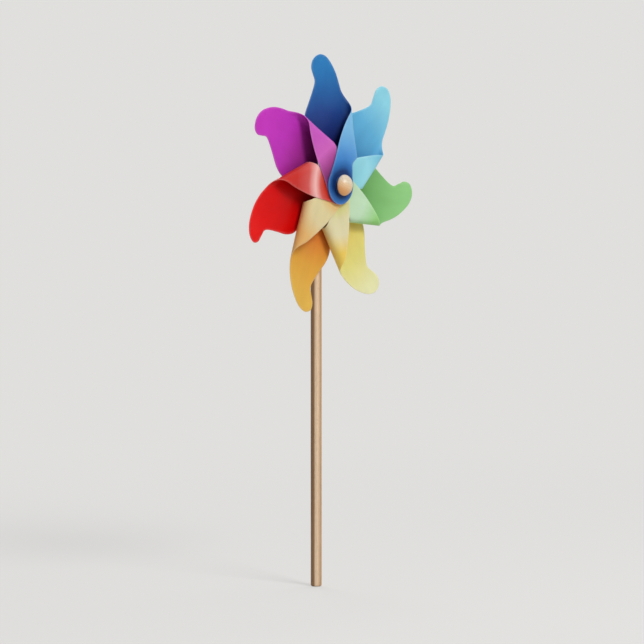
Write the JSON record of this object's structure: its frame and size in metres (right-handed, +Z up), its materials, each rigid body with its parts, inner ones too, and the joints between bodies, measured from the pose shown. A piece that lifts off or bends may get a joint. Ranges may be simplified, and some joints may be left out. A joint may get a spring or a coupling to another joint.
{
  "type": "pinwheel",
  "caption": "Toy pinwheel whose wheel of curled rainbow plastic blades spins freely on a steel pin through the top of a round wooden stick.",
  "frame": {"origin": "middle of the stick's lower end face, where the stick is held or planted", "axes": "+Z up along the stick, -Y out of the front of the wheel along its axle, +X to the right as seen from the front"},
  "size_m": [0.1455, 0.0326, 0.3064],
  "materials": {
    "stick_wood": "bare sanded wood",
    "bead_wood": "lacquered wood",
    "steel": "bright drawn wire",
    "hub_plastic": "gloss white",
    "clip_plastic": "gloss dark blue",
    "film_blue": "thin glossy film, darker towards the hub",
    "film_magenta": "thin glossy film, darker towards the hub",
    "film_red": "thin glossy film, darker towards the hub",
    "film_orange": "thin glossy film, darker towards the hub",
    "film_yellow": "thin glossy film, darker towards the hub",
    "film_green": "thin glossy film, darker towards the hub",
    "film_cyan": "thin glossy film, darker towards the hub"
  },
  "bodies": {
    "stick": {"stick": "stick_wood", "axle_pin": "steel", "front_bead": "bead_wood", "rear_cap": "hub_plastic"},
    "wheel": {"hub_tube": "hub_plastic", "rear_plate": "hub_plastic", "foot_clamp": "hub_plastic", "tab_sleeve": "hub_plastic", "tab_clip": "clip_plastic", "blade_blue": "film_blue", "blade_magenta": "film_magenta", "blade_red": "film_red", "blade_orange": "film_orange", "blade_yellow": "film_yellow", "blade_green": "film_green", "blade_cyan": "film_cyan"},
    "spacer_bead": {"spacer_bead": "bead_wood"},
    "rear_washer": {"rear_washer": "steel"},
    "front_washer": {"front_washer": "steel"}
  },
  "joints": [
    {"name": "wheel_spin", "type": "hinge", "parent": "stick", "child": "wheel", "pos_m": [0, -0.00769, 0.232], "axis": [0, -1, 0], "continuous": true},
    {"name": "spacer_bead_spin", "type": "hinge", "parent": "stick", "child": "spacer_bead", "pos_m": [0, -0.00439, 0.232], "axis": [0, -1, 0], "continuous": true},
    {"name": "rear_washer_spin", "type": "hinge", "parent": "stick", "child": "rear_washer", "pos_m": [0, -0.00594, 0.232], "axis": [0, -1, 0], "continuous": true},
    {"name": "front_washer_spin", "type": "hinge", "parent": "stick", "child": "front_washer", "pos_m": [0, -0.01999, 0.232], "axis": [0, -1, 0], "continuous": true}
  ]
}
